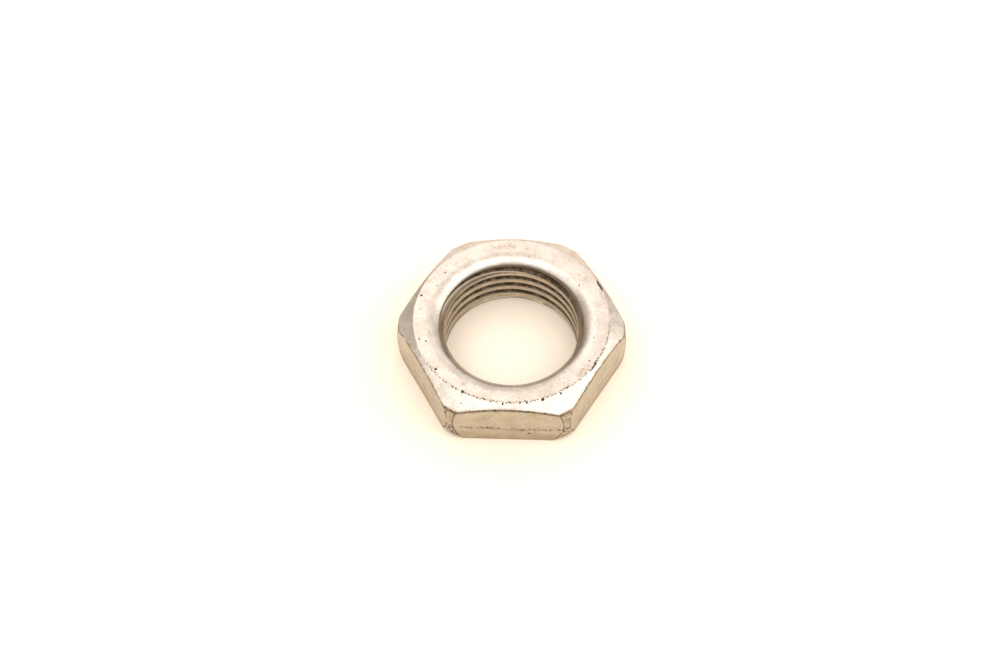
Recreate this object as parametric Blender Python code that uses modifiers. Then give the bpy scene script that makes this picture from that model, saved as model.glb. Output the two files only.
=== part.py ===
"""Thin hexagon nut with a fine right-hand thread, in metres with +Z up.

The origin is the centre of the bottom bearing face. One pair of flats faces -Y and +Y, and one pair of
corners lies on the X axis. The nut is a single piece of steel: a hexagon bar with its upper end
chamfered, the corners of its lower end broken, a bore with a rounded mouth, and a tapped thread.
"""

import math

import bmesh
import bpy
from mathutils import Matrix, Vector

# Hexagon and height.
ACROSS_FLATS = 0.0270
HEIGHT = 0.0080

# Thread: sixteen turns to the inch, the space between two crests narrowing to the major diameter.
THREAD_MAJOR_DIAMETER = 0.01905
THREAD_MINOR_DIAMETER = 0.0178
THREAD_PITCH = 0.0254 / 16
THREAD_FLANK_ANGLE = math.radians(30)
THREAD_ROOT_WIDTH = THREAD_PITCH / 8

# Outside turning: the chamfer round the top, the broken corners at the base, and the crown between.
CHAMFER_CIRCLE_DIAMETER = 0.0259
CHAMFER_ANGLE = math.radians(34)
BASE_CIRCLE_DIAMETER = 0.0294
BASE_ANGLE = math.radians(62)
CORNER_DIAMETER_AT_CHAMFER = 0.0299
CORNER_DIAMETER_AT_MIDDLE = 0.03064
CORNER_DIAMETER_AT_BASE = 0.0303
CORNER_CROWN_STEPS = 6

# Mouths of the bore: a wide rounding that runs into a steep cone at the top, a small cone at the base.
MOUTH_DIAMETER = 0.0228
MOUTH_ROUNDING = 0.0024
MOUTH_ANGLE = math.radians(55)
MOUTH_STEPS = 7
BASE_MOUTH_DIAMETER = 0.0184
BASE_MOUTH_DEPTH = 0.0003

# How finely the round shapes are divided, and how far a cutter runs past the faces that it cuts.
OUTSIDE_STEPS = 72
BORE_STEPS = 60
OVERRUN = 0.001
THREAD_CUTTER_INSET = 0.00045
THREAD_OVERRUN_TURNS = 1

SMOOTH_UNDER_ANGLE = math.radians(22)
MERGE_DISTANCE = 0.00001
WELD_DISTANCE = 0.000003

STEEL_COLOR = (0.78, 0.70, 0.61, 1.0)
STEEL_ROUGHNESS = 0.38


def clear_scene():
    for thing in list(bpy.data.objects):
        bpy.data.objects.remove(thing, do_unlink=True)


def new_collection(name):
    collection = bpy.data.collections.new(name)
    bpy.context.scene.collection.children.link(collection)
    return collection


def new_object(name, bm, collection):
    """Turn a finished bmesh into an object in the collection."""
    mesh = bpy.data.meshes.new(name)
    bm.to_mesh(mesh)
    bm.free()
    piece = bpy.data.objects.new(name, mesh)
    collection.objects.link(piece)
    return piece


def mark_as_cutter(piece):
    piece.hide_render = True
    piece.display_type = "WIRE"


def plated_steel():
    material = bpy.data.materials.new("plated_steel")
    material.use_nodes = True
    shader = material.node_tree.nodes["Principled BSDF"]
    shader.inputs["Base Color"].default_value = STEEL_COLOR
    shader.inputs["Metallic"].default_value = 1.0
    shader.inputs["Roughness"].default_value = STEEL_ROUGHNESS
    return material


def turned_solid(name, outline, steps, collection):
    """Turn an outline of (radius, height) points, listed from the top down, once round the Z axis."""
    bm = bmesh.new()
    points = [bm.verts.new((radius, 0, height)) for radius, height in outline]
    for upper, lower in zip(points, points[1:]):
        bm.edges.new((upper, lower))
    piece = new_object(name, bm, collection)
    screw = piece.modifiers.new("turn", "SCREW")
    screw.axis = "Z"
    screw.angle = math.tau
    screw.steps = steps
    screw.render_steps = steps
    screw.use_merge_vertices = True
    screw.merge_threshold = MERGE_DISTANCE
    mark_as_cutter(piece)
    return piece


def hexagon_bar(collection):
    """A length of bar, longer than the nut, with corners on the X axis."""
    bm = bmesh.new()
    corner_radius = ACROSS_FLATS / math.sqrt(3)
    corners_on_x = Matrix.Rotation(math.radians(30), 4, "Z")
    bmesh.ops.create_cone(
        bm,
        cap_ends=True,
        segments=6,
        radius1=corner_radius,
        radius2=corner_radius,
        depth=HEIGHT + 2 * OVERRUN,
        matrix=Matrix.Translation((0, 0, HEIGHT / 2)) @ corners_on_x,
    )
    return new_object("hex_nut", bm, collection)


def outside_turning(collection):
    """The turned envelope that chamfers the bar's top, breaks its base and crowns its corners."""
    circle = CHAMFER_CIRCLE_DIAMETER / 2
    base_circle = BASE_CIRCLE_DIAMETER / 2
    middle = CORNER_DIAMETER_AT_MIDDLE / 2
    upper_end = CORNER_DIAMETER_AT_CHAMFER / 2
    lower_end = CORNER_DIAMETER_AT_BASE / 2
    top = HEIGHT - (upper_end - circle) * math.tan(CHAMFER_ANGLE)
    bottom = (lower_end - base_circle) * math.tan(BASE_ANGLE)
    outline = [(0, HEIGHT), (circle, HEIGHT)]
    for step in range(2 * CORNER_CROWN_STEPS + 1):
        along = 1 - step / CORNER_CROWN_STEPS
        end = upper_end if along > 0 else lower_end
        radius = middle - (middle - end) * along**2
        outline.append((radius, (top + bottom) / 2 + (top - bottom) / 2 * along))
    outline += [(base_circle, 0), (0, 0)]
    return turned_solid("outside_turning", outline, OUTSIDE_STEPS, collection)


def bore_cutter(collection):
    """The drilled bore with the mouth at each of its ends, run on past both bearing faces."""
    bore = THREAD_MINOR_DIAMETER / 2
    rim = MOUTH_DIAMETER / 2
    outline = [(0, HEIGHT + OVERRUN), (rim, HEIGHT + OVERRUN)]
    for step in range(MOUTH_STEPS + 1):
        lean = MOUTH_ANGLE * step / MOUTH_STEPS
        radius = rim - MOUTH_ROUNDING * math.sin(lean)
        outline.append((radius, HEIGHT - MOUTH_ROUNDING * (1 - math.cos(lean))))
    cone_top, cone_height = outline[-1]
    base_mouth = BASE_MOUTH_DIAMETER / 2
    base_flare = (base_mouth - bore) / BASE_MOUTH_DEPTH
    outline += [
        (bore, cone_height - (cone_top - bore) * math.tan(MOUTH_ANGLE)),
        (bore, BASE_MOUTH_DEPTH),
        (base_mouth + base_flare * OVERRUN, -OVERRUN),
        (0, -OVERRUN),
    ]
    return turned_solid("bore_cutter", outline, BORE_STEPS, collection)


def thread_cutter(collection):
    """The thread's groove as one helical bar, its section carried up one pitch for each turn."""
    root = THREAD_MAJOR_DIAMETER / 2
    inside = THREAD_MINOR_DIAMETER / 2 - THREAD_CUTTER_INSET
    root_half = THREAD_ROOT_WIDTH / 2
    inside_half = root_half + (root - inside) * math.tan(THREAD_FLANK_ANGLE)
    start = -THREAD_OVERRUN_TURNS * THREAD_PITCH
    turns = math.ceil(HEIGHT / THREAD_PITCH) + 2 * THREAD_OVERRUN_TURNS
    steps = turns * BORE_STEPS
    section = [(inside, -inside_half), (root, -root_half), (root, root_half), (inside, inside_half)]
    bm = bmesh.new()
    corners = [bm.verts.new((radius, 0, start + height)) for radius, height in section]
    bm.faces.new(corners)
    bmesh.ops.spin(
        bm,
        geom=bm.verts[:] + bm.edges[:] + bm.faces[:],
        cent=(0, 0, 0),
        axis=(0, 0, 1),
        angle=math.tau * turns,
        steps=steps,
        dvec=Vector((0, 0, THREAD_PITCH / BORE_STEPS)),
    )
    bmesh.ops.recalc_face_normals(bm, faces=bm.faces)
    piece = new_object("thread_cutter", bm, collection)
    mark_as_cutter(piece)
    return piece


def cut(piece, name, operation, tool):
    boolean = piece.modifiers.new(name, "BOOLEAN")
    boolean.operation = operation
    boolean.solver = "EXACT"
    boolean.object = tool


def finish_mesh(piece):
    """Keep the machined shape as a plain mesh, smooth on its round surfaces and sharp at its edges."""
    bpy.context.view_layer.update()
    evaluated = piece.evaluated_get(bpy.context.evaluated_depsgraph_get())
    machined = bpy.data.meshes.new_from_object(evaluated)
    piece.modifiers.clear()
    bm = bmesh.new()
    bm.from_mesh(machined)
    bmesh.ops.remove_doubles(bm, verts=bm.verts, dist=WELD_DISTANCE)
    bmesh.ops.dissolve_degenerate(bm, edges=bm.edges, dist=WELD_DISTANCE)
    bmesh.ops.triangulate(bm, faces=bm.faces)
    bm.to_mesh(machined)
    bm.free()
    piece.data = machined
    machined.name = piece.name
    machined.materials.clear()
    machined.materials.append(plated_steel())
    machined.shade_smooth()
    machined.set_sharp_from_angle(angle=SMOOTH_UNDER_ANGLE)


def main():
    clear_scene()
    parts = new_collection("thin_hex_nut")
    cutters = new_collection("cutters")
    nut = hexagon_bar(parts)
    cut(nut, "chamfers_and_corners", "INTERSECT", outside_turning(cutters))
    cut(nut, "bore", "DIFFERENCE", bore_cutter(cutters))
    cut(nut, "thread", "DIFFERENCE", thread_cutter(cutters))
    finish_mesh(nut)


main()
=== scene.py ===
"""Looks of a thin hex nut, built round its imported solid.

The nut is laid out as a maker would work it: a hexagon blank with a chamfer turned on its upper end,
crowned corners, a wide rounded mouth, a fine right-hand thread, and worn zinc plating over the lot.
"""

import math

import bmesh
import bpy
import numpy as np
from mathutils import Matrix, Vector


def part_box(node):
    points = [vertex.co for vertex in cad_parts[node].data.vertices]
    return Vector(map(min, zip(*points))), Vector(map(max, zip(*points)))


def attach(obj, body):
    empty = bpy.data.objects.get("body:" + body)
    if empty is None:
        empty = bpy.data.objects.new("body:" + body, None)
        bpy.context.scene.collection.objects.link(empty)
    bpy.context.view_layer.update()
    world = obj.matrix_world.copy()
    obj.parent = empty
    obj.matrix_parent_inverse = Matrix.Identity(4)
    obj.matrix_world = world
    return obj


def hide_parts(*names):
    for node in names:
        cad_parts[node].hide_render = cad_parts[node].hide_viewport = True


bl_info = {
    "name": "Thin Hex Nut",
    "version": (1, 0, 0),
    "blender": (4, 5, 0),
    "location": "3D View > Sidebar > Hex Nut",
    "description": "Builds a worn, plated thin hex nut and the table that it lies on",
    "category": "Add Mesh",
}

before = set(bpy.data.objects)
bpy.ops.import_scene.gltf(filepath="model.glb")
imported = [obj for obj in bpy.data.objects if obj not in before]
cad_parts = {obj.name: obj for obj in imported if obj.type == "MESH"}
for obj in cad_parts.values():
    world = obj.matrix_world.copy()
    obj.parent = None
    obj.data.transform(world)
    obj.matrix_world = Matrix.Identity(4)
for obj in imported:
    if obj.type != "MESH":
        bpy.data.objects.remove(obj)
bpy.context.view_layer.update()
NUT_LOW, NUT_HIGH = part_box("hex_nut")
ACROSS_FLATS = NUT_HIGH.y - NUT_LOW.y
HEIGHT = NUT_HIGH.z - NUT_LOW.z
MM = 0.001
MICRON = 1e-6


# ------------------------------------------------------------------------------------------------
# Settings that a user would change
# ------------------------------------------------------------------------------------------------


def length(name, description, default):
    return bpy.props.FloatProperty(
        name=name, description=description, default=default, min=0, unit="LENGTH", precision=5
    )


def angle(name, description, degrees):
    return bpy.props.FloatProperty(
        name=name, description=description, default=math.radians(degrees), subtype="ANGLE"
    )


def colour(name, description, default):
    return bpy.props.FloatVectorProperty(
        name=name, description=description, default=default, size=3, min=0, max=1, subtype="COLOR"
    )

def fraction(name, description, default, highest=1):
    return bpy.props.FloatProperty(
        name=name, description=description, default=default, min=0, max=highest, subtype="FACTOR"
    )


def offset(name, description, default):
    return bpy.props.FloatProperty(name=name, description=description, default=default, unit="LENGTH")


class NutShape(bpy.types.PropertyGroup):
    """Sizes of the machined nut."""

    columns: bpy.props.IntProperty(
        name="Columns", description="Divisions round the nut, a multiple of six", default=540, min=60
    )
    chamfer_circle: length("Chamfer circle", "Diameter where the upper bearing face ends", 25.9 * MM)
    chamfer_angle: angle("Chamfer angle", "Slope of the turned chamfer", 34)
    chamfer_shift: length("Chamfer shift", "How far back of centre the chamfer was turned", 0.3 * MM)
    base_circle: length("Base circle", "Diameter where the lower bearing face ends", 29.4 * MM)
    base_angle: angle("Base angle", "Slope of the broken corners round the base", 62)
    corner_at_chamfer: length("Corner at chamfer", "Diameter over corners under the chamfer", 29.9 * MM)
    corner_at_middle: length("Corner at middle", "Diameter over corners half way up", 30.64 * MM)
    corner_at_base: length("Corner at base", "Diameter over corners above the base", 30.3 * MM)
    face_rounding: length("Face rounding", "Radius between bearing face and chamfer", 0.5 * MM)
    edge_rounding: length("Edge rounding", "Radius between chamfer and flats", 0.12 * MM)
    base_rounding: length("Base rounding", "Radius under the middle of each flat", 0.15 * MM)
    base_corner_rounding: length("Base corner rounding", "Radius under each corner", 0.9 * MM)
    unevenness: length("Unevenness", "How far the worn edges wander from true", 0.035 * MM)
    corner_rounding: length("Corner rounding", "How far each flat melts into its corners", 0.05 * MM)
    mouth: length("Mouth", "Diameter where the upper mouth starts to round over", 22.8 * MM)
    mouth_rounding: length("Mouth rounding", "Radius of the upper mouth", 2.4 * MM)
    mouth_angle: angle("Mouth angle", "Slope of the cone under the rounding", 55)
    base_mouth: length("Base mouth", "Diameter of the lower mouth", 18.4 * MM)
    base_mouth_depth: length("Base mouth depth", "Depth of the lower mouth", 0.3 * MM)
    major: length("Major diameter", "Diameter at the roots of the thread", 19.05 * MM)
    minor: length("Minor diameter", "Diameter at the crests of the thread", 17.8 * MM)
    pitch: length("Pitch", "Rise of the thread in one turn", 25.4 / 16 * MM)


class PlatingLook(bpy.types.PropertyGroup):
    """Colours and gloss of the worn zinc, and the colours of the shade painted on it."""

    zinc_bright: colour("Bright zinc", "Clean plating on the faces and chamfer", (0.61, 0.585, 0.56))
    zinc_dull: colour("Dull zinc", "The darker mottling of the faces and chamfer", (0.46, 0.42, 0.385))
    # Painted shade and painted reflection: the flats' zinc is a darker, yellower copy of the faces' zinc,
    # for the table that they face. The dull one is also the thread's darker mottle.
    flat_bright_shaded: colour("Bright flat", "Clean plating on the wrench flats", (0.55, 0.51, 0.41))
    flat_dull_shaded: colour("Dull flat", "The darker mottling of the wrench flats", (0.40, 0.35, 0.27))
    # Painted shade: dark colour laid low in the mouth and on the cone over the thread, heavier at the back
    # of the bore.
    mouth_shade: colour("Dull mouth", "Plating low in the mouth of the bore", (0.22, 0.19, 0.155))
    thread_crest: colour("Thread crest", "Rubbed plating on the thread's crests", (0.62, 0.52, 0.41))
    stain: colour("Stain", "Brown film on the plating", (0.36, 0.25, 0.16))
    rust: colour("Rust", "Brown specks in the seams", (0.16, 0.085, 0.045))
    # Near black for pits, grime and old grease; also painted shade in the thread's roots and a painted dark
    # reflection under the chamfer's edge.
    grime_and_shade: colour("Grime", "Old grease in pits, edges and thread roots", (0.035, 0.025, 0.017))
    roughness: fraction("Roughness", "Roughness of clean plating", 0.34)


class StudioSetup(bpy.types.PropertyGroup):
    """The table, the light tent and the camera."""

    floor_color: colour("Table", "Colour of the table top", (0.86, 0.785, 0.705))
    tent_color: colour("Tent", "Colour of the light that comes from everywhere", (1.0, 0.84, 0.66))
    tent_strength: fraction("Tent strength", "Brightness of the light that comes from everywhere", 0.42)
    panel_color: colour("Panels", "Colour of the overhead and rear panels", (1.0, 0.90, 0.81))
    key_color: colour("Key panels", "Colour of the panels in front and at the right", (1.0, 0.97, 0.90))
    light_level: fraction("Light level", "Brightness of the panels and the tent together", 0.86, highest=4)
    panel_distance: length("Panel distance", "From each light panel to the nut", 800 * MM)
    lens: bpy.props.FloatProperty(
        name="Lens", description="Focal length", default=58.6, min=1, subtype="DISTANCE_CAMERA"
    )
    distance: length("Distance", "From the lens to the point that it looks at", 223 * MM)
    azimuth: angle("Azimuth", "How far the camera stands round to the right of the front flat", 3.06)
    elevation: angle("Elevation", "Height of the camera above the table", 56.45)
    roll: angle("Roll", "Tilt of the camera", -1.06)
    aim_right: offset("Aim right", "Aim point, to the right of the nut", -1.53 * MM)
    aim_back: offset("Aim back", "Aim point, behind the nut", 3.23 * MM)


# ------------------------------------------------------------------------------------------------
# The nut's surface
# ------------------------------------------------------------------------------------------------

SIXTH = math.tau / 6
CORNER_CROWDING = 0.35
EDGE_WAVES = range(5, 60, 3)
CHAMFER_EDGE_ROUNDS = 12
BASE_EDGE_ROUNDS = 40
LONGEST_ROUNDING = 0.45
SIDE_ROWS = 32
THREAD_FLANK = math.radians(30)


def smooth_min(a, b, reach):
    """The smaller of two numbers, blended where they come within reach of each other."""
    near = np.clip(1 - np.abs(a - b) / reach, 0, None)
    return np.minimum(a, b) - near**2 * reach / 4


def smooth_max(a, b, reach):
    return -smooth_min(-a, -b, reach)


def column_angles(count):
    """Angles round the nut, closer together at the six corners than along the flats."""
    sixths = np.arange(count) * 6 / count
    eased = sixths - CORNER_CROWDING * np.sin(math.tau * sixths) / math.tau
    return eased * SIXTH


def flat_distance(angles):
    """How far the nearest flat lies from the axis, along each angle."""
    from_flat = np.mod(angles, SIXTH) - SIXTH / 2
    return ACROSS_FLATS / 2 / np.cos(from_flat)


def corner_crown(shape, z):
    """Radius of the turned, slightly barrelled corners at a height."""
    top, bottom = corner_ends(shape)
    along = (z - (top + bottom) / 2) * 2 / (top - bottom)
    middle = shape.corner_at_middle / 2
    end = np.where(along > 0, shape.corner_at_chamfer, shape.corner_at_base) / 2
    return middle - (middle - end) * along**2


def corner_ends(shape):
    """Heights where the crowned corners meet the chamfer and the broken base."""
    top = HEIGHT - (shape.corner_at_chamfer - shape.chamfer_circle) / 2 * math.tan(shape.chamfer_angle)
    bottom = (shape.corner_at_base - shape.base_circle) / 2 * math.tan(shape.base_angle)
    return top, bottom


def side_radius(shape, angles, z):
    return smooth_min(flat_distance(angles), corner_crown(shape, z), shape.corner_rounding)


def chamfer_circle(shape, angles):
    """Distance from the nut's axis to the circle that the chamfer starts from, a little off centre."""
    shift = shape.chamfer_shift
    across = shift * np.cos(angles)
    true = shift * np.sin(angles) + np.sqrt((shape.chamfer_circle / 2) ** 2 - across**2)
    return true + uneven(shape, angles, seed=3)


def uneven(shape, angles, seed):
    """A smooth, random wander of a worn edge, the same each time for the same seed."""
    chance = np.random.default_rng(seed)
    wander = np.zeros_like(angles)
    for waves in EDGE_WAVES:
        height = chance.uniform(-1, 1) / math.sqrt(waves)
        wander += height * np.sin(waves * angles + chance.uniform(0, math.tau))
    return wander * shape.unevenness


def chamfer_edge(shape, angles):
    """Radius and height of the line where the chamfer meets the flats and corners."""
    slope = math.tan(shape.chamfer_angle)
    circle = chamfer_circle(shape, angles)
    z = np.full_like(angles, HEIGHT)
    for _ in range(CHAMFER_EDGE_ROUNDS):
        z = HEIGHT - (side_radius(shape, angles, z) - circle) * slope
    return side_radius(shape, angles, z), z


def base_edge(shape, angles):
    """Radius and height of the lowest line of the flats and corners, over the broken base."""
    slope = math.tan(shape.base_angle)
    z = np.zeros_like(angles)
    for _ in range(BASE_EDGE_ROUNDS):
        reach = side_radius(shape, angles, z) - shape.base_circle / 2
        z = (z + np.maximum(reach, 0) * slope) / 2
    return side_radius(shape, angles, z), z


def rounded(before, corner, after, count):
    """Rows round a corner: a curve that leaves one line and joins the next without a break."""
    rows = []
    for t in np.linspace(0, 1, count):
        weights = ((1 - t) ** 2, 2 * t * (1 - t), t**2)
        rows.append(tuple(sum(w * p[i] for w, p in zip(weights, (before, corner, after))) for i in (0, 1)))
    return rows


def between(first, last, count):
    """Rows evenly spaced between two rows, without the two themselves."""
    steps = np.linspace(0, 1, count + 2)[1:-1]
    return [tuple(a + (b - a) * t for a, b in zip(first, last)) for t in steps]


def towards(first, last, reach):
    """The row at a distance from the first row, on the way to the last one and never past its middle."""
    run = np.hypot(last[0] - first[0], last[1] - first[1])
    part = np.minimum(reach / np.maximum(run, 1e-9), LONGEST_ROUNDING)
    return tuple(a + (b - a) * part for a, b in zip(first, last))


def mouth_radius(shape, z):
    """Radius of the upper mouth at a height: its wide rounding, then the cone under that."""
    drop = HEIGHT - z
    rounding = shape.mouth_rounding
    arc_drop = rounding * (1 - math.cos(shape.mouth_angle))
    rise = rounding - np.clip(drop, 0, arc_drop)
    arc = shape.mouth / 2 - np.sqrt(rounding**2 - rise**2)
    return arc - np.maximum(drop - arc_drop, 0) / math.tan(shape.mouth_angle)


def mouth_rows(shape, ones):
    """Rows from just clear of the thread, up over the rounding of the mouth, to the bearing face."""
    clear_of_thread = shape.major / 2 + 0.1 * MM
    first_lean = math.asin((shape.mouth / 2 - clear_of_thread) / shape.mouth_rounding)
    rows = []
    for lean in np.linspace(first_lean, 0, 12):
        z = HEIGHT - shape.mouth_rounding * (1 - math.cos(lean))
        rows.append((mouth_radius(shape, z) * ones, z * ones))
    return rows


def outer_skin(shape, angles):
    """All rows from the upper mouth round the outside to the lower mouth, and the zone after each row.

    Each row is a radius and a height for every angle. The zone says which finish follows the row. The
    number at the end of each part below is its count of rows.
    """
    ones = np.ones_like(angles)
    mouth = mouth_rows(shape, ones)
    circle = (chamfer_circle(shape, angles), HEIGHT * ones)
    edge = chamfer_edge(shape, angles)
    base = base_edge(shape, angles)
    base_ring = (np.minimum(flat_distance(angles), shape.base_circle / 2), 0 * ones)
    bore_ring = (bore_radius(shape, angles, 0 * ones), 0 * ones)
    tangent = shape.face_rounding * math.tan(shape.chamfer_angle / 2)
    face_end = towards(circle, mouth[-1], tangent)
    chamfer_start = towards(circle, edge, tangent)
    chamfer_end = towards(edge, circle, shape.edge_rounding)
    side = side_rows(shape, angles, edge, base)
    side_start = towards(edge, side[0], shape.edge_rounding)
    at_corner = np.clip(base[1] / base[1].max(), 0, 1)
    rounding = shape.base_rounding + (shape.base_corner_rounding - shape.base_rounding) * at_corner
    side_end = towards(base, side[-1], rounding)
    underside = towards(base_ring, bore_ring, rounding)
    low_edge = tuple((a + b) / 2 for a, b in zip(base, base_ring))
    parts = [
        ("mouth", mouth),
        ("face", between(mouth[-1], face_end, 10)),
        ("face", rounded(face_end, circle, chamfer_start, 5)),
        ("chamfer", between(chamfer_start, chamfer_end, 14)),
        ("chamfer", rounded(chamfer_end, edge, side_start, 6)),
        ("flat", side),
        ("flat", rounded(side_end, low_edge, underside, 8)),
        ("face", between(underside, bore_ring, 14)),
        ("mouth", [bore_ring]),
    ]
    rows = [row for _, part in parts for row in part]
    zones = [zone for zone, part in parts for _ in part]
    return rows, zones


def side_rows(shape, angles, top, bottom):
    """Rows down the flats and corners between the chamfer's edge and the base."""
    rows = []
    for t in np.linspace(0, 1, SIDE_ROWS + 2)[1:-1]:
        z = top[1] + (bottom[1] - top[1]) * t
        rows.append((side_radius(shape, angles, z), z))
    return rows


def thread_depth(shape, z, angles):
    """How deep the thread is cut at a height and angle: flat crests, sloping flanks, narrow roots."""
    depth = (shape.major - shape.minor) / 2
    root = shape.pitch / 16
    reach = root + depth * math.tan(THREAD_FLANK)
    climb = shape.pitch * angles / math.tau
    from_root = np.abs(np.mod(z - climb + shape.pitch / 2, shape.pitch) - shape.pitch / 2)
    flank = depth * (reach - from_root) / (reach - root)
    return smooth_max(smooth_min(flank, depth, 0.1 * MM), 0, 0.22 * MM)


def bore_radius(shape, angles, z):
    """Radius of the bore's wall: the thread, or a mouth of the bore where that is wider."""
    base_flare = (shape.base_mouth - shape.minor) / 2 / shape.base_mouth_depth
    base_cone = shape.base_mouth / 2 - base_flare * z
    thread = shape.minor / 2 + thread_depth(shape, z, angles)
    return smooth_max(thread, np.maximum(mouth_radius(shape, z), base_cone), 0.05 * MM)


def thread_offsets(shape):
    """Heights of the rows in one pitch, crowded where the crest and the root turn."""
    root = shape.pitch / 16
    reach = root + (shape.major - shape.minor) / 2 * math.tan(THREAD_FLANK)
    crest_middle = shape.pitch / 2
    half = [0, root * 0.8, root * 1.6, (root + reach) / 2, reach - root * 0.8, reach, reach + root * 0.8]
    half.append((reach + crest_middle) / 2 + root * 0.3)
    mirrored = [shape.pitch - h for h in reversed(half[1:])]
    return half + mirrored


def thread_grid(shape, angles, low, high):
    """A grid of rows that climb with the thread, held between two level rings."""
    looped = np.append(angles, math.tau)
    offsets = thread_offsets(shape)
    first = -2
    last = math.ceil(HEIGHT / shape.pitch) + 1
    grid = []
    for turn in range(first, last):
        for offset in offsets:
            z = turn * shape.pitch + offset + shape.pitch * looped / math.tau
            z = np.clip(z, low, high)
            grid.append((bore_radius(shape, looped, z), z))
    return looped, grid


# ------------------------------------------------------------------------------------------------
# Mesh
# ------------------------------------------------------------------------------------------------

FINISHES = ("mouth", "face", "chamfer", "flat", "thread")


def add_rows(bm, angles, rows, closed):
    """Make the vertices of each row, and return them as a list of lists."""
    made = []
    for radius, z in rows:
        xs, ys = radius * np.cos(angles), radius * np.sin(angles)
        made.append([bm.verts.new(point) for point in zip(xs, ys, z)])
    if closed:
        for row in made:
            row.append(row[0])
    return made


def join_rows(bm, rows, zones):
    for upper, lower, zone in zip(rows, rows[1:], zones):
        index = FINISHES.index(zone)
        for i in range(len(upper) - 1):
            face = bm.faces.new((upper[i], upper[i + 1], lower[i + 1], lower[i]))
            face.material_index = index
            face.smooth = True


def nut_mesh(shape):
    """The whole surface as one closed mesh."""
    angles = column_angles(shape.columns)
    bm = bmesh.new()
    outside, zones = outer_skin(shape, angles)
    low, high = 0.0, float(outside[0][1].min())
    rings = add_rows(bm, angles, outside, closed=True)
    join_rows(bm, rings, zones)
    looped, grid = thread_grid(shape, angles, low, high)
    helix = add_rows(bm, looped, grid, closed=False)
    join_rows(bm, list(reversed(helix)), ["thread"] * len(grid))
    bmesh.ops.remove_doubles(bm, verts=bm.verts, dist=0.002 * MM)
    bmesh.ops.dissolve_degenerate(bm, edges=bm.edges, dist=0.001 * MM)
    bmesh.ops.recalc_face_normals(bm, faces=bm.faces)
    loose = sum(not edge.is_manifold for edge in bm.edges)
    if loose:
        raise RuntimeError(f"the nut's surface has {loose} open or doubled edges")
    mesh = bpy.data.meshes.new("hex_nut_plated")
    bm.to_mesh(mesh)
    bm.free()
    return mesh


# ------------------------------------------------------------------------------------------------
# Shader kit
# ------------------------------------------------------------------------------------------------


class Wire:
    """One output of a node. Python's operators on it add Math or Vector Math nodes."""

    def __init__(self, bench, socket):
        self.bench = bench
        self.socket = socket

    def sums(self, operation, *values):
        kind = "ShaderNodeMath" if self.socket.type == "VALUE" else "ShaderNodeVectorMath"
        return self.bench.node(kind, {"operation": operation}, dict(enumerate(values)))

    def __add__(self, other):
        return self.sums("ADD", self, other)

    def __radd__(self, other):
        return self.sums("ADD", other, self)

    def __sub__(self, other):
        return self.sums("SUBTRACT", self, other)

    def __rsub__(self, other):
        return self.sums("SUBTRACT", other, self)

    def __mul__(self, other):
        return self.sums("MULTIPLY", self, other)

    def __rmul__(self, other):
        return self.sums("MULTIPLY", other, self)

    def __truediv__(self, other):
        return self.sums("DIVIDE", self, other)

    def __pow__(self, other):
        return self.sums("POWER", self, other)

    def __abs__(self):
        return self.sums("ABSOLUTE", self)

    def least(self, other):
        return self.sums("MINIMUM", self, other)

    def most(self, other):
        return self.sums("MAXIMUM", self, other)


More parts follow.
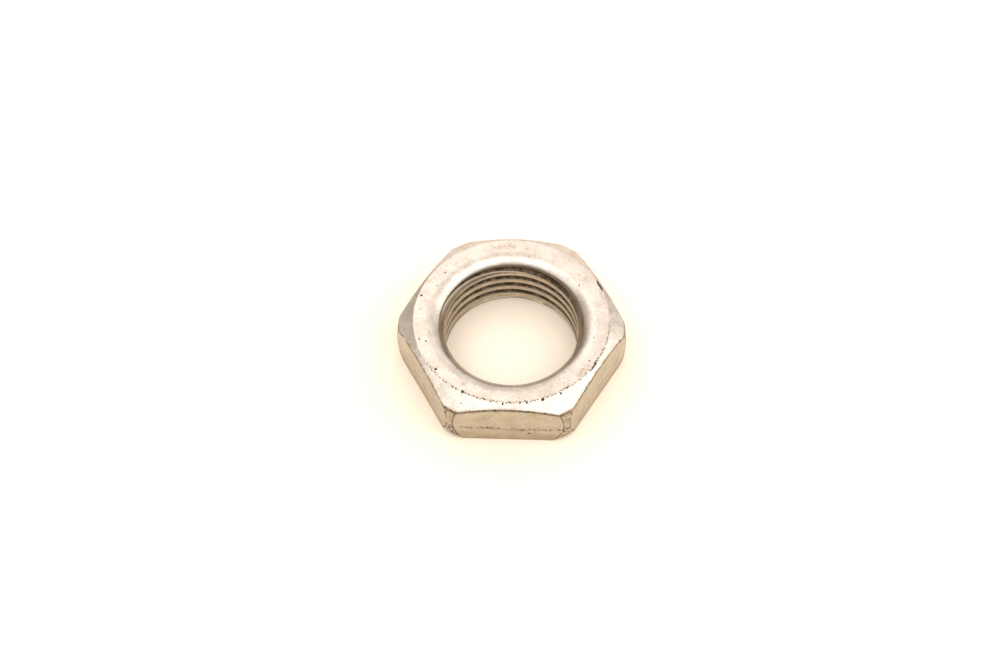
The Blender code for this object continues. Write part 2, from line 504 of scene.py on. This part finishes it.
class Bench:
    """A material's node tree, with the nut's own measures ready to use in it."""

    def __init__(self, name, shape):
        self.material = bpy.data.materials.new(name)
        self.material.use_nodes = True
        self.tree = self.material.node_tree
        self.shape = shape
        self.place = self.node("ShaderNodeTexCoord", output="Object")
        self.x, self.y, self.z = (
            self.node("ShaderNodeSeparateXYZ", inputs={"Vector": self.place}, output=axis) for axis in "XYZ"
        )
        self.radius = (self.x * self.x + self.y * self.y) ** 0.5
        self.angle = self.x.sums("ARCTAN2", self.y, self.x)

    def node(self, kind, settings=None, inputs=None, output=0):
        """Add a node: its settings first, then the values or links of its sockets."""
        made = self.tree.nodes.new(kind)
        for name, value in (settings or {}).items():
            setattr(made, name, value)
        for name, value in (inputs or {}).items():
            self.feed(self.find(made.inputs, name), value)
        return Wire(self, self.find(made.outputs, output))

    @staticmethod
    def find(sockets, key):
        """A socket by its place, its identifier or its name."""
        if isinstance(key, int):
            return sockets[key]
        return next(s for s in sockets if key in (s.identifier, s.name))

    def feed(self, socket, value):
        if isinstance(value, Wire):
            self.tree.links.new(value.socket, socket)
        else:
            socket.default_value = value

    def mix(self, factor, first, second):
        inputs = {"Factor_Float": factor, "A_Color": opaque(first), "B_Color": opaque(second)}
        return self.node("ShaderNodeMix", {"data_type": "RGBA"}, inputs, "Result_Color")

    def fade(self, value, low, high):
        """From 0 at low to 1 at high, eased at both ends. High may be under low."""
        inputs = {"Value": value, "From Min": low, "From Max": high}
        return self.node("ShaderNodeMapRange", {"interpolation_type": "SMOOTHSTEP"}, inputs)

    def vector(self, x, y, z):
        return self.node("ShaderNodeCombineXYZ", inputs={"X": x, "Y": y, "Z": z})

    def grain(self, size, detail=2, place=None, rough=0.55):
        """Soft noise, 0 to 1, whose blotches are about this many metres wide."""
        inputs = {"Vector": place or self.place, "Scale": 1 / size, "Detail": detail, "Roughness": rough}
        return self.node("ShaderNodeTexNoise", inputs=inputs, output="Fac")

    def specks(self, spacing, width, share):
        """Small round marks, at random places about a spacing apart: 1 in a mark and 0 outside.

        Only a share of the places has a mark, and the marks differ in width.
        """
        cells, cell_color = (
            self.node("ShaderNodeTexVoronoi", None, {"Vector": self.place, "Scale": 1 / spacing}, name)
            for name in ("Distance", "Color")
        )
        chance, size = (
            self.node("ShaderNodeSeparateColor", inputs={"Color": cell_color}, output=name)
            for name in ("Red", "Green")
        )
        ragged = (self.grain(width * 0.45, 3) - 0.5) * (1.1 * width / spacing)
        reach = (size * 0.7 + 0.3) * (width / 2 / spacing)
        inside = self.fade(cells + ragged - reach, 0.06 * width / spacing, -0.12 * width / spacing)
        return inside * self.fade(chance, 1 - share, 1 - share + 0.02)

    def mark(self, radius, degrees, width, length, ragged=0.5):
        """One mark on an end face: 1 in it and 0 outside. Its width runs outward, its length round the nut.

        Sizes are in millimetres, and the place is a radius and the degrees round from +X.
        """
        a = math.radians(degrees)
        out = self.x * math.cos(a) + self.y * math.sin(a) - radius * MM
        along = self.y * math.cos(a) - self.x * math.sin(a)
        return self.blot(out, along, width * MM, length * MM, ragged)

    def blot(self, across, along, width, length, ragged):
        """A ragged oval round the place where both distances are 0: 1 in it and 0 outside."""
        across, along = across / (width / 2), along / (length / 2)
        wobble = (self.grain(min(width, length) * 0.6, 3) - 0.5) * (2 * ragged)
        return self.fade((across * across + along * along) ** 0.5 + wobble, 1.15, 0.75)

    def marks(self, places, ragged=0.5):
        """Several marks as one mask."""
        mask = self.mark(*places[0], ragged)
        for place in places[1:]:
            mask = mask.most(self.mark(*place, ragged))
        return mask

    def flat_gap(self):
        """How far inside the nearest of the six flats."""
        half = math.cos(math.radians(30))
        leaning = abs(self.x * half + self.y * 0.5).most(abs(self.x * half - self.y * 0.5))
        return ACROSS_FLATS / 2 - abs(self.y).most(leaning)

    def crown_gap(self):
        """How far inside the barrelled corners, well enough for their upper half."""
        shape = self.shape
        top, bottom = corner_ends(shape)
        along = (self.z - (top + bottom) / 2) * (2 / (top - bottom))
        middle = shape.corner_at_middle / 2
        return middle - (along * along) * (middle - shape.corner_at_chamfer / 2) - self.radius

    def past_circle(self):
        """How far outside the circle that the chamfer starts from."""
        back = self.y - self.shape.chamfer_shift
        return (self.x * self.x + back * back) ** 0.5 - self.shape.chamfer_circle / 2

    def chamfer_gap(self):
        """How far under the chamfer."""
        slope = self.shape.chamfer_angle
        return (HEIGHT - self.z - self.past_circle() * math.tan(slope)) * math.cos(slope)

    def finish(self, color, roughness, metallic, height):
        shader = self.tree.nodes["Principled BSDF"]
        bump = self.node("ShaderNodeBump", inputs={"Height": height, "Distance": 1.0}, output="Normal")
        sockets = {"Base Color": color, "Roughness": roughness, "Metallic": metallic, "Normal": bump}
        for name, value in sockets.items():
            self.feed(shader.inputs[name], value)
        return self.material


def opaque(value):
    """A colour of three numbers as the four that a socket takes. Wires pass through."""
    return value if isinstance(value, Wire) else (*value, 1)


# ------------------------------------------------------------------------------------------------
# Finishes
# ------------------------------------------------------------------------------------------------


# Pits on the front flat: distance right of its middle, height and width, all in mm.
FRONT_PITS = (
    (2.7, 1.7, 0.34),
    (-7.2, 2.8, 0.40),
    (-7.3, 1.3, 0.46),
    (-7.7, 2.2, 0.36),
    (7.3, 2.4, 0.36),
    (7.2, 1.2, 0.34),
)

# Marks on the upper face: distance from the axis in mm, degrees round from +X, width and length in mm.
FACE_PITS = (
    (12.40, 219.8, 0.44, 0.36),
    (11.63, 198.2, 0.22, 0.26),
    (12.44, 195.6, 0.20, 0.24),
    (12.65, 163.3, 0.30, 0.34),
    (11.80, 140.8, 0.22, 0.20),
    (12.64, 242.3, 0.42, 0.36),
    (12.85, 267.0, 0.24, 0.26),
    (12.80, 280.8, 0.22, 0.24),
    (12.80, 290.2, 0.34, 0.52),
    (12.90, 301.4, 0.24, 0.28),
    (12.90, 328.0, 0.16, 1.50),
    (13.05, 27.0, 0.34, 1.90),
    (11.95, 329.9, 0.18, 0.20),
    (12.20, 173.4, 0.18, 0.18),
    (11.41, 152.2, 0.16, 0.16),
)
FACE_PATCHES = (
    (12.25, 321.5, 0.90, 2.40),
    (11.90, 130.8, 1.10, 0.80),
    (11.95, 81.7, 1.00, 0.50),
    (10.15, 44.6, 0.50, 0.50),
    (11.50, 240.0, 0.90, 0.90),
    (12.65, 20.0, 0.40, 2.40),
    (12.10, 96.0, 1.20, 3.40),
)


class Plating:
    """The zinc that every finish starts from: mottled colour, satin roughness and a fine grain."""

    def __init__(self, bench, look, bright, dull, texture=1.0):
        broad = bench.grain(1.9 * MM, 3)
        fine = bench.grain(0.33 * MM, 4, rough=0.65)
        dust = bench.grain(0.09 * MM, 2)
        mottle = bench.fade(broad * 0.4 + fine * 0.42 + dust * 0.18, 0.36, 0.60)
        self.bench = bench
        self.look = look
        self.color = bench.mix(mottle, dull, bright)
        self.roughness = look.roughness + (fine - 0.5) * 0.18 + (broad - 0.5) * 0.14
        ripples = (dust - 0.5) * (1.2 * MICRON) + (fine - 0.5) * (5 * MICRON)
        self.height = (ripples + (broad - 0.5) * (16 * MICRON)) * texture
        self.metallic = 1.0

    def cover(self, mask, color, roughness, metallic=0.0, depth=0.0):
        """Lay something over the plating where the mask is 1, sunk by a depth."""
        bench = self.bench
        self.color = bench.mix(mask, self.color, color)
        self.roughness = self.roughness + (roughness - self.roughness) * mask
        self.metallic = self.metallic + (metallic - self.metallic) * mask
        if depth:
            self.height = self.height - mask * depth

    def made(self):
        return self.bench.finish(self.color, self.roughness, self.metallic, self.height)


def edge_dirt_and_reflection(plating):
    """Grime and a painted dark reflection under the chamfer's edge, heaviest on the front flat, and dark
    dirt along the ends of the flats.
    """
    bench, look = plating.bench, plating.look
    flat, crown, chamfer = bench.flat_gap(), bench.crown_gap(), bench.chamfer_gap()
    side = flat.least(crown)
    down = chamfer - side
    wander = (bench.grain(0.8 * MM, 3) - 0.5) * (0.16 * MM)
    thickness = (bench.grain(0.45 * MM, 3) - 0.5) * (0.36 * MM) + 0.16 * MM
    # Painted reflection: a dark line under the rounded edge, partly grime, unbroken along the front flat.
    line = bench.fade(abs(down - 0.12 * MM + wander) - thickness, 0.05 * MM, -0.06 * MM)
    on_front = bench.fade(bench.y, -12.4 * MM, -12.9 * MM)
    unbroken = bench.fade(bench.grain(1.5 * MM, 2), 0.36, 0.48).most(on_front)
    plating.cover(line * unbroken * 0.92, look.grime_and_shade, 0.7, depth=15 * MICRON)
    crumbs = bench.specks(0.4 * MM, 0.34 * MM, 0.5) * bench.fade(abs(down - 0.1 * MM), 0.3 * MM, 0.15 * MM)
    plating.cover(crumbs, look.grime_and_shade, 0.8, depth=20 * MICRON)
    film = bench.fade(abs(down - 0.15 * MM + wander), 0.55 * MM, 0.1 * MM)
    plating.cover(film * bench.fade(bench.grain(0.7 * MM, 3), 0.36, 0.62) * 0.55, look.stain, 0.6, 0.4)
    on_side = bench.fade(down, 0.1 * MM, 0.5 * MM)
    drift = (bench.grain(0.6 * MM, 3) - 0.5) * (0.05 * MM)
    seam = bench.fade(abs(flat - crown + drift), 0.06 * MM, 0.015 * MM)
    patchy = bench.fade(bench.grain(0.9 * MM, 3), 0.34, 0.52)
    plating.cover(seam * on_side * patchy * 0.85, look.grime_and_shade, 0.7, depth=10 * MICRON)


def corner_wear(plating):
    """The crowned corners: browner and more pitted than the flats between them."""
    bench, look = plating.bench, plating.look
    on_crown = bench.fade(bench.crown_gap() - bench.flat_gap(), 0.02 * MM, -0.05 * MM)
    film = bench.fade(bench.grain(0.6 * MM, 4, rough=0.7), 0.42, 0.66)
    plating.cover(on_crown * film * 0.7, look.stain, 0.6, 0.4)
    crumbs = bench.specks(0.32 * MM, 0.32 * MM, 0.95) * bench.fade(bench.grain(1.4 * MM, 2), 0.34, 0.5)
    plating.cover(crumbs * on_crown, look.grime_and_shade, 0.8, depth=20 * MICRON)


def ring_pits(plating):
    """Pits strung along the circle where the upper face ends, most of them at the front of the nut."""
    bench, look = plating.bench, plating.look
    circle = bench.past_circle()
    near = bench.fade(abs(circle + (bench.grain(1.5 * MM, 2) - 0.5) * (0.36 * MM)), 0.26 * MM, 0.1 * MM)
    at_front = bench.fade(bench.y, -5 * MM, -10.5 * MM)
    at_right = bench.fade(bench.x, 9 * MM, 11 * MM) * bench.fade(bench.y, 1 * MM, -2 * MM)
    facing = at_front.most(at_right) * 0.94 + 0.06
    many = bench.specks(0.30 * MM, 0.28 * MM, 0.95)
    few = bench.specks(0.70 * MM, 0.42 * MM, 0.5)
    plating.cover(many.most(few) * near * facing, look.grime_and_shade, 0.8, depth=30 * MICRON)
    drift = (bench.grain(0.9 * MM, 2) - 0.5) * (0.2 * MM)
    rusty_line = bench.fade(abs(circle + drift), 0.12 * MM, 0.03 * MM)
    broken = bench.fade(bench.grain(0.5 * MM, 3), 0.42, 0.56)
    plating.cover(rusty_line * broken * facing * 0.75, look.rust, 0.6)


def loose_pits(plating, amount):
    """Pin pricks and small pits, thicker in some patches than in others, and a thin brown haze."""
    bench, look = plating.bench, plating.look
    patches = bench.fade(bench.grain(3.2 * MM, 2), 0.44, 0.62)
    fine = bench.specks(0.28 * MM, 0.13 * MM, amount) * patches
    stray = bench.specks(1.0 * MM, 0.26 * MM, 0.4 * amount)
    plating.cover(fine.most(stray) * 0.85, look.grime_and_shade, 0.8, depth=20 * MICRON)
    halo = bench.fade(bench.grain(2.3 * MM, 5, rough=0.65), 0.54, 0.72)
    plating.cover(halo * 0.3, look.stain, 0.5, 0.6)


def placed_marks(plating):
    """The marks that tell this nut from another: its larger pits, a gouge and brown patches."""
    bench, look = plating.bench, plating.look
    upper = bench.fade(bench.z, HEIGHT - 1.2 * MM, HEIGHT - 1.0 * MM)
    patch = bench.marks(FACE_PATCHES, ragged=1.1) * upper
    blotch = bench.fade(bench.grain(0.3 * MM, 4, rough=0.7), 0.44, 0.62)
    plating.cover(patch * (blotch * 0.45 + 0.12), look.stain, 0.6, 0.4, depth=8 * MICRON)
    plating.cover(patch * bench.specks(0.3 * MM, 0.2 * MM, 0.6), look.rust, 0.7, depth=20 * MICRON)
    pits = bench.marks(FACE_PITS) * upper
    plating.cover(pits, look.grime_and_shade, 0.8, depth=50 * MICRON)


def front_pits(plating):
    """The larger pits of the front flat and of the corners at its ends."""
    bench, look = plating.bench, plating.look
    at_front = bench.fade(bench.y, -11.5 * MM, -12 * MM)
    for right, up, width in FRONT_PITS:
        pit = bench.blot(bench.x - right * MM, bench.z - up * MM, width * MM, width * MM, ragged=0.5)
        plating.cover(pit * at_front, look.grime_and_shade, 0.8, depth=40 * MICRON)


def face_finish(shape, look):
    """The bearing faces: pale mottled zinc, stained, pitted, and ringed with pits at the rim."""
    bench = Bench("bearing_face_zinc", shape)
    plating = Plating(bench, look, look.zinc_bright, look.zinc_dull, texture=0.6)
    loose_pits(plating, 0.7)
    ring_pits(plating)
    placed_marks(plating)
    return plating.made()


def chamfer_finish(shape, look):
    """The turned chamfer: the cleanest zinc on the nut, with faint turning marks."""
    bench = Bench("chamfer_zinc", shape)
    plating = Plating(bench, look, look.zinc_bright, look.zinc_dull)
    marks = bench.grain(0.12 * MM, 2, bench.vector(bench.radius, bench.z, 0))
    plating.height = plating.height + (marks - 0.5) * (2 * MICRON)
    loose_pits(plating, 0.25)
    ring_pits(plating)
    placed_marks(plating)
    edge_dirt_and_reflection(plating)
    return plating.made()


def flat_finish(shape, look):
    """The wrench flats: zinc painted darker and browner as shade and a warm reflection of the table, with
    lengthwise streaks and a seam of specks.
    """
    bench = Bench("wrench_flat_zinc", shape)
    plating = Plating(bench, look, look.flat_bright_shaded, look.flat_dull_shaded)
    along = bench.angle * (ACROSS_FLATS / 2)
    streak = bench.grain(1.0, 3, bench.vector(along / (2.4 * MM), bench.z / (0.25 * MM), 0))
    drip = bench.grain(1.0, 3, bench.vector(along / (0.22 * MM), bench.z / (2.2 * MM), 5))
    plating.height = plating.height + (streak - 0.5) * (5 * MICRON) + (drip - 0.5) * (3 * MICRON)
    plating.cover(bench.fade(streak, 0.5, 0.7) * 0.2, look.stain, 0.5, 0.6)
    plating.cover(bench.fade(drip, 0.5, 0.68) * 0.14, look.stain, 0.5, 0.6)
    # Painted shade: the flats grow browner and darker towards the table.
    low = bench.fade(bench.z + (bench.grain(2 * MM, 3) - 0.5) * (1.5 * MM), 2.4 * MM, 0.2 * MM)
    plating.cover(low * 0.5, look.stain, 0.6, 0.3)
    seam = bench.z - 2.75 * MM + (bench.grain(4 * MM, 1) - 0.5) * (0.8 * MM)
    band = bench.fade(abs(seam), 0.5 * MM, 0.1 * MM)
    plating.cover(band * bench.fade(bench.grain(1.2 * MM, 3), 0.4, 0.6) * 0.4, look.stain, 0.6, 0.4)
    clots = bench.specks(0.30 * MM, 0.42 * MM, 0.95) * bench.fade(bench.grain(1.1 * MM, 2), 0.34, 0.48)
    near = bench.fade(abs(seam), 0.36 * MM, 0.16 * MM)
    on_front = bench.fade(bench.y, -12.4 * MM, -13.2 * MM)
    plating.cover(near * clots * (on_front * 0.75 + 0.25), look.rust, 0.75, depth=15 * MICRON)
    loose_pits(plating, 0.45)
    corner_wear(plating)
    front_pits(plating)
    edge_dirt_and_reflection(plating)
    return plating.made()


def mouth_finish(shape, look):
    """The mouths: smooth, turned in fine rings, with a fold of metal where they meet the thread."""
    bench = Bench("mouth_zinc", shape)
    plating = Plating(bench, look, look.zinc_bright, look.zinc_dull, texture=0.5)
    ring = bench.grain(0.1 * MM, 2, bench.vector(bench.radius, bench.z, 0))
    plating.height = plating.height + (ring - 0.5) * (1.5 * MICRON)
    # Painted shade: the mouth darkens low down towards the thread, and more at the back of the bore.
    deep = bench.fade(bench.radius, shape.mouth / 2 - 1.5 * MM, shape.minor / 2 + 0.4 * MM)
    at_back = bench.fade(bench.y, 0.0, 7 * MM)
    plating.cover(deep * (ring * 0.4 + 0.6) * (at_back * 0.6 + 0.4), look.mouth_shade, 0.36, 1.0)
    wander = (bench.grain(1.4 * MM, 2) - 0.5) * (0.12 * MM)
    fold = bench.fade(abs(bench.radius - shape.major / 2 + 0.15 * MM + wander), 0.09 * MM, 0.02 * MM)
    plating.cover(fold * 0.5, look.stain, 0.5, 0.6, depth=12 * MICRON)
    loose_pits(plating, 0.4)
    placed_marks(plating)
    return plating.made()


def thread_finish(shape, look):
    """The thread: tan crests, rubbed along their length, over roots painted near black, partly old grease
    and partly painted shade, heavier at the back of the bore.

    The cone above the thread is part of the same surface, and carries the same painted shade as the mouth's
    lower end.
    """
    bench = Bench("thread_zinc", shape)
    # The thread's darker mottle takes the flats' painted-shade colour.
    plating = Plating(bench, look, look.thread_crest, look.flat_dull_shaded, texture=0.5)
    climb = bench.z - bench.angle * (shape.pitch / math.tau)
    drag = bench.grain(0.07 * MM, 2, bench.vector(bench.radius, climb, 0))
    plating.height = plating.height + (drag - 0.5) * (3 * MICRON)
    depth = bench.radius - shape.minor / 2
    rounding_drop = shape.mouth_rounding * (1 - math.cos(shape.mouth_angle))
    cone_start = shape.mouth / 2 - shape.mouth_rounding * math.sin(shape.mouth_angle)
    cone = (bench.z - (HEIGHT - rounding_drop)) * (1 / math.tan(shape.mouth_angle)) + cone_start
    cone_foot = HEIGHT - rounding_drop - (cone_start - shape.minor / 2) * math.tan(shape.mouth_angle)
    off_cone = bench.fade(bench.radius - cone, 0.03 * MM, 0.1 * MM)
    above_base = bench.fade(bench.z, 0.1 * MM, 0.5 * MM)
    ragged = (bench.grain(0.7 * MM, 2) - 0.5) * (0.04 * MM)
    # Painted shade: the roots are darkened to near black, partly as old grease, and more at the back of the
    # bore.
    greasy_and_shaded = bench.fade(depth + ragged, 0.02 * MM, 0.16 * MM) * off_cone * above_base
    at_back = bench.fade(bench.y, 0.0, 7 * MM)
    plating.cover(greasy_and_shaded * (at_back * 0.3 + 0.7), look.grime_and_shade, 0.5, metallic=1.0)
    # Painted shade on the cone over the thread, heavier at the back of the bore.
    on_cone = bench.fade(bench.z, cone_foot, cone_foot + 0.2 * MM) * (1 - off_cone)
    plating.cover(on_cone * (at_back * 0.55 + 0.4), look.mouth_shade, 0.36, 1.0)
    film = bench.fade(bench.grain(0.8 * MM, 3), 0.42, 0.62)
    plating.cover(film * 0.2, look.stain, 0.5, 0.5)
    return plating.made()


FINISH_MAKERS = {
    "mouth": mouth_finish,
    "face": face_finish,
    "chamfer": chamfer_finish,
    "flat": flat_finish,
    "thread": thread_finish,
}


# ------------------------------------------------------------------------------------------------
# Operators
# ------------------------------------------------------------------------------------------------

TABLE_HALF_WIDTH = 1.5
TABLE_ROUGHNESS = 0.7
SENSOR_WIDTH_IN_MM = 36
CLIP_START = 0.01
CLIP_END = 10


class NUTSHOP_OT_machine_nut(bpy.types.Operator):
    """Machine and plate the nut in the place of the plain solid"""

    bl_idname = "nutshop.machine_nut"
    bl_label = "Machine Nut"
    bl_options = {"REGISTER", "UNDO"}

    def execute(self, context):
        shape = context.scene.nut_shape
        mesh = nut_mesh(shape)
        for finish in FINISHES:
            mesh.materials.append(FINISH_MAKERS[finish](shape, context.scene.nut_look))
        nut = bpy.data.objects.new("hex_nut_plated", mesh)
        context.scene.collection.objects.link(nut)
        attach(nut, "root")
        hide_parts("hex_nut")
        return {"FINISHED"}


def light_panel(setup, name, size, glow, light_color, azimuth, elevation):
    """A square panel that faces the nut. Its glow is as bright as it looks, whatever its size.

    The azimuth is in degrees to the right of straight in front, the elevation in degrees over the table.
    """
    lamp = bpy.data.lights.new(name, "AREA")
    lamp.shape = "SQUARE"
    lamp.size = size
    lamp.energy = setup.light_level * glow * math.pi * size**2
    lamp.color = light_color
    light = bpy.data.objects.new(name, lamp)
    a, e = math.radians(azimuth), math.radians(elevation)
    outward = Vector((math.sin(a) * math.cos(e), -math.cos(a) * math.cos(e), math.sin(e)))
    light.location = outward * setup.panel_distance
    light.rotation_mode = "QUATERNION"
    light.rotation_quaternion = outward.to_track_quat("Z", "Y")
    bpy.context.scene.collection.objects.link(light)


def light_tent(setup):
    """Dim warm light from everywhere, and soft panels over, behind, before and beside the nut."""
    world = bpy.data.worlds.new("tent")
    world.use_nodes = True
    background = world.node_tree.nodes["Background"]
    background.inputs["Color"].default_value = (*setup.tent_color, 1)
    background.inputs["Strength"].default_value = setup.light_level * setup.tent_strength
    bpy.context.scene.world = world
    warm, key = setup.panel_color, setup.key_color
    light_panel(setup, "overhead_panel", size=1.2, glow=1.2, light_color=warm, azimuth=0, elevation=90)
    light_panel(setup, "front_panel", size=0.65, glow=1.4, light_color=key, azimuth=0, elevation=60)
    light_panel(setup, "front_left_panel", size=0.75, glow=1.6, light_color=key, azimuth=-65, elevation=48)
    light_panel(setup, "front_right_panel", size=0.6, glow=1.7, light_color=key, azimuth=58, elevation=51)
    light_panel(setup, "left_panel", size=0.7, glow=0.45, light_color=warm, azimuth=255, elevation=26)
    light_panel(setup, "left_rear_panel", size=0.6, glow=1.0, light_color=warm, azimuth=216, elevation=42)
    light_panel(setup, "rear_panel", size=0.9, glow=1.1, light_color=warm, azimuth=180, elevation=32)
    light_panel(setup, "right_rear_panel", size=0.65, glow=0.7, light_color=warm, azimuth=138, elevation=20)
    light_panel(setup, "right_panel", size=0.7, glow=2.1, light_color=key, azimuth=95, elevation=30)


def table_top(setup):
    """A flat, matt table under the nut."""
    bm = bmesh.new()
    bmesh.ops.create_grid(bm, x_segments=1, y_segments=1, size=TABLE_HALF_WIDTH)
    mesh = bpy.data.meshes.new("table_top")
    bm.to_mesh(mesh)
    bm.free()
    material = bpy.data.materials.new("table_top")
    material.use_nodes = True
    shader = material.node_tree.nodes["Principled BSDF"]
    shader.inputs["Base Color"].default_value = (*setup.floor_color, 1)
    shader.inputs["Roughness"].default_value = TABLE_ROUGHNESS
    mesh.materials.append(material)
    table = bpy.data.objects.new("table_top", mesh)
    bpy.context.scene.collection.objects.link(table)


def place_camera(setup):
    """Aim the camera at the nut from the front."""
    lens = bpy.data.cameras.new("camera")
    lens.lens = setup.lens
    lens.sensor_width = SENSOR_WIDTH_IN_MM
    lens.clip_start = CLIP_START
    lens.clip_end = CLIP_END
    camera = bpy.data.objects.new("camera", lens)
    bpy.context.scene.collection.objects.link(camera)
    a, e = setup.azimuth, setup.elevation
    right = Vector((math.cos(a), math.sin(a), 0))
    back = Vector((math.sin(a) * math.cos(e), -math.cos(a) * math.cos(e), math.sin(e)))
    level = Vector((-math.sin(a), math.cos(a), 0))
    aim = right * setup.aim_right + level * setup.aim_back
    camera.location = aim + back * setup.distance
    up = back.cross(right)
    turned = Matrix((right, up, back)).transposed()
    camera.rotation_mode = "QUATERNION"
    camera.rotation_quaternion = (turned @ Matrix.Rotation(setup.roll, 3, "Z")).to_quaternion()
    bpy.context.scene.camera = camera


class NUTSHOP_OT_set_studio(bpy.types.Operator):
    """Lay the table, hang the light panels and place the camera"""

    bl_idname = "nutshop.set_studio"
    bl_label = "Set Studio"
    bl_options = {"REGISTER", "UNDO"}

    def execute(self, context):
        setup = context.scene.nut_studio
        table_top(setup)
        place_camera(setup)
        light_tent(setup)
        context.scene.view_settings.view_transform = "Standard"
        return {"FINISHED"}


class NUTSHOP_PT_bench(bpy.types.Panel):
    """Everything that the nut and its table are made from"""

    bl_idname = "NUTSHOP_PT_bench"
    bl_label = "Hex Nut"
    bl_space_type = "VIEW_3D"
    bl_region_type = "UI"
    bl_category = "Hex Nut"

    def draw(self, context):
        layout = self.layout
        for group in (context.scene.nut_shape, context.scene.nut_look, context.scene.nut_studio):
            for name in group.__annotations__:
                layout.prop(group, name)
        layout.operator(NUTSHOP_OT_machine_nut.bl_idname)
        layout.operator(NUTSHOP_OT_set_studio.bl_idname)


CLASSES = (
    NutShape,
    PlatingLook,
    StudioSetup,
    NUTSHOP_OT_machine_nut,
    NUTSHOP_OT_set_studio,
    NUTSHOP_PT_bench,
)


def register():
    for cls in CLASSES:
        bpy.utils.register_class(cls)
    bpy.types.Scene.nut_shape = bpy.props.PointerProperty(type=NutShape)
    bpy.types.Scene.nut_look = bpy.props.PointerProperty(type=PlatingLook)
    bpy.types.Scene.nut_studio = bpy.props.PointerProperty(type=StudioSetup)


def unregister():
    del bpy.types.Scene.nut_studio
    del bpy.types.Scene.nut_look
    del bpy.types.Scene.nut_shape
    for cls in reversed(CLASSES):
        bpy.utils.unregister_class(cls)


def main():
    register()
    bpy.ops.nutshop.machine_nut()
    bpy.ops.nutshop.set_studio()


if __name__ == "__main__":
    main()
